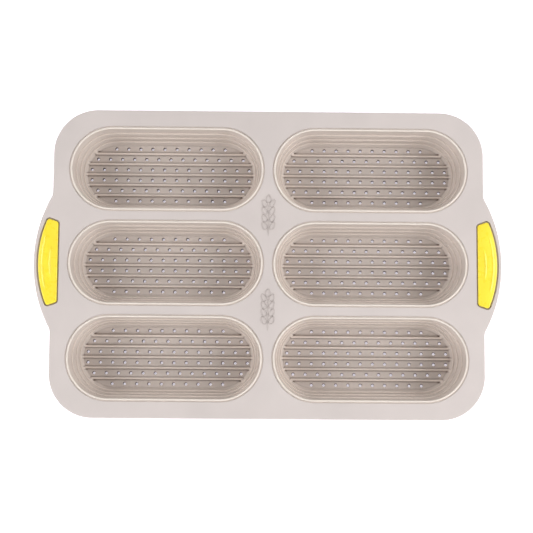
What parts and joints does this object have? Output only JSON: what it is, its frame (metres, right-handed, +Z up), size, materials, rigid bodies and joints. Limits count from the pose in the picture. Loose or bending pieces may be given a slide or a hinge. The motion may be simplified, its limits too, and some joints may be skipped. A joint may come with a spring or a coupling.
{
  "type": "baguette tray",
  "caption": "Silicone baking tray with rows of perforated, step-sided wells for small loaves, a wire-stiffened rim and a coloured grip at each end.",
  "frame": {"origin": "centre of the plane that the tray rests on, at the undersides of the wells", "axes": "+X along the tray from grip to grip, +Y across it to the back row of wells, +Z up out of the wells"},
  "size_m": [0.371, 0.2446, 0.0325],
  "materials": {
    "silicone": "matte, warm grey moulded silicone",
    "grip": "satin, yellow moulded silicone",
    "wire": "drawn stainless wire"
  },
  "bodies": {
    "root": {"deck": "silicone", "steel_frame": "wire", "left_grip": "grip", "right_grip": "grip", "back_left_wall": "silicone", "back_right_wall": "silicone", "middle_left_wall": "silicone", "middle_right_wall": "silicone", "front_left_wall": "silicone", "front_right_wall": "silicone", "back_left_floor": "silicone", "back_right_floor": "silicone", "middle_left_floor": "silicone", "middle_right_floor": "silicone", "front_left_floor": "silicone", "front_right_floor": "silicone"}
  },
  "joints": []
}
